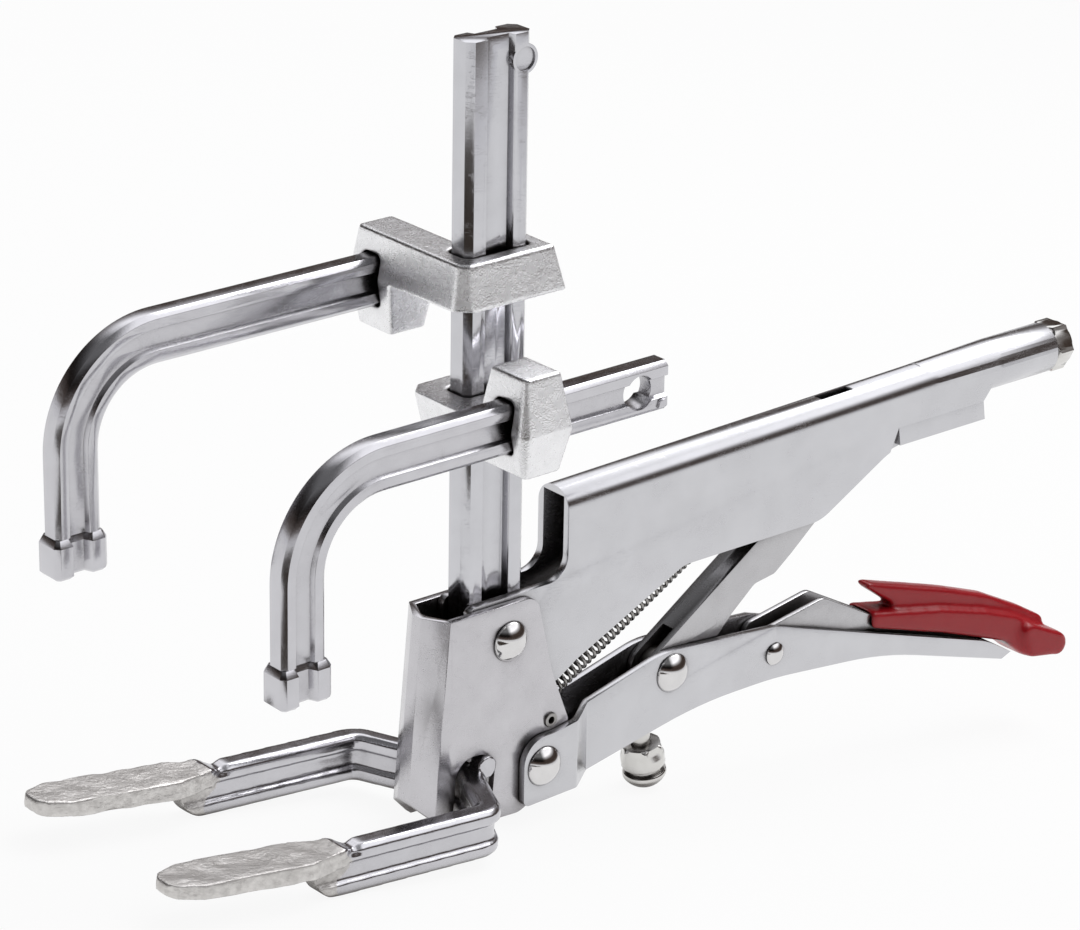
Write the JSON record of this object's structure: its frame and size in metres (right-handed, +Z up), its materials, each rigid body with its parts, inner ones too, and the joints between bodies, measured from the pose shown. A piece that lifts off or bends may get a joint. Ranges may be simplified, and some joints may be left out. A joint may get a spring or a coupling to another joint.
{
  "type": "welding locking pliers",
  "caption": "Locking pliers for welding: grooved rail with two sliding bent arms over a forked lower jaw, folded toggle handles, adjusting screw and red release lever.",
  "frame": {"origin": "centre of the bounding box on the surface the tool rests on", "axes": "+X forward to the arm feet and fork tips, +Y to the side that carries the lower arm, +Z up"},
  "size_m": [0.378, 0.0792, 0.2318],
  "materials": {
    "cast_nickel": "bright nickel over a sand-cast skin",
    "rail_steel": "bright nickel on drawn bar",
    "arm_steel": "satin nickel on drawn bar",
    "fork_steel": "satin nickel on drawn and forged bar",
    "handle_sheet": "bright nickel on pressed sheet",
    "lever_sheet": "bright nickel on pressed sheet",
    "housing_sheet": "bright nickel on pressed sheet",
    "link_sheet": "nickel on pressed sheet",
    "rivet_polish": "polished",
    "pin_steel": "plain",
    "spring_wire": "drawn wire",
    "screw_plated": "bright plated",
    "red_grip": "dipped, glossy"
  },
  "bodies": {
    "frame": {"upper_handle": "handle_sheet", "rail": "rail_steel", "main_rivet": "rivet_polish", "rail_pin": "pin_steel", "screw_bush": "pin_steel", "spring_anchor": "pin_steel", "tension_spring": "spring_wire"},
    "upper_slider": {"upper_slide": "cast_nickel"},
    "upper_clamp_arm": {"upper_arm": "arm_steel"},
    "lower_slider": {"lower_slide": "cast_nickel"},
    "lower_clamp_arm": {"lower_arm": "arm_steel"},
    "jaw": {"jaw_housing": "housing_sheet", "fork": "fork_steel", "spring_pin": "pin_steel", "handle_rivet": "rivet_polish", "handle_bush": "pin_steel"},
    "lever": {"lower_handle": "lever_sheet", "link_rivet": "rivet_polish", "release_rivet": "rivet_polish"},
    "link": {"toggle_link": "link_sheet", "link_bush": "pin_steel"},
    "release": {"release_lever": "link_sheet", "release_grip": "red_grip"},
    "adjuster": {"adjusting_screw": "screw_plated"},
    "stopper": {"stop_screw": "screw_plated"}
  },
  "joints": [
    {"name": "upper_slide_travel", "type": "slide", "parent": "frame", "child": "upper_slider", "axis": [0.1544, 0, 0.988], "range_m": [-0.025, 0.048]},
    {"name": "upper_arm_reach", "type": "slide", "parent": "upper_slider", "child": "upper_clamp_arm", "axis": [0.988, 0, -0.1544], "range_m": [-0.066, 0.0035]},
    {"name": "lower_slide_travel", "type": "slide", "parent": "frame", "child": "lower_slider", "axis": [0.1544, 0, 0.988], "range_m": [-0.036, 0.025]},
    {"name": "lower_arm_reach", "type": "slide", "parent": "lower_slider", "child": "lower_clamp_arm", "axis": [0.988, 0, -0.1544], "range_m": [-0.038, 0.033]},
    {"name": "lever_squeeze", "type": "hinge", "parent": "jaw", "child": "lever", "pos_m": [0.03376, 0, 0.01788], "axis": [0, 1, 0], "range_deg": [-7, 7]},
    {"name": "jaw_swing", "type": "hinge", "parent": "frame", "child": "jaw", "pos_m": [0.05115, 0, 0.057], "axis": [0, -1, 0], "range_deg": [-2.2, 3.1], "deforming": ["tension_spring"]},
    {"name": "link_swing", "type": "hinge", "parent": "lever", "child": "link", "pos_m": [-0.01669, 0, 0.03832], "axis": [0, -1, 0], "range_deg": [-7.6, 10.8]},
    {"name": "release_press", "type": "hinge", "parent": "lever", "child": "release", "pos_m": [-0.05815, 0, 0.03923], "axis": [0, 1, 0], "range_deg": [0, 12]},
    {"name": "adjuster_turn", "type": "hinge", "parent": "frame", "child": "adjuster", "pos_m": [-0.16073, 0, 0.12604], "axis": [-0.988, 0, 0.1544], "continuous": true},
    {"name": "stopper_turn", "type": "hinge", "parent": "lever", "child": "stopper", "pos_m": [-0.01215, 0, 0.02202], "axis": [0.3203, 0, 0.9473], "continuous": true}
  ],
  "couplings": [
    {"joint": "jaw_swing", "follows": "lever_squeeze", "ratio": 0.3},
    {"joint": "link_swing", "follows": "lever_squeeze", "ratio": 1.07}
  ]
}
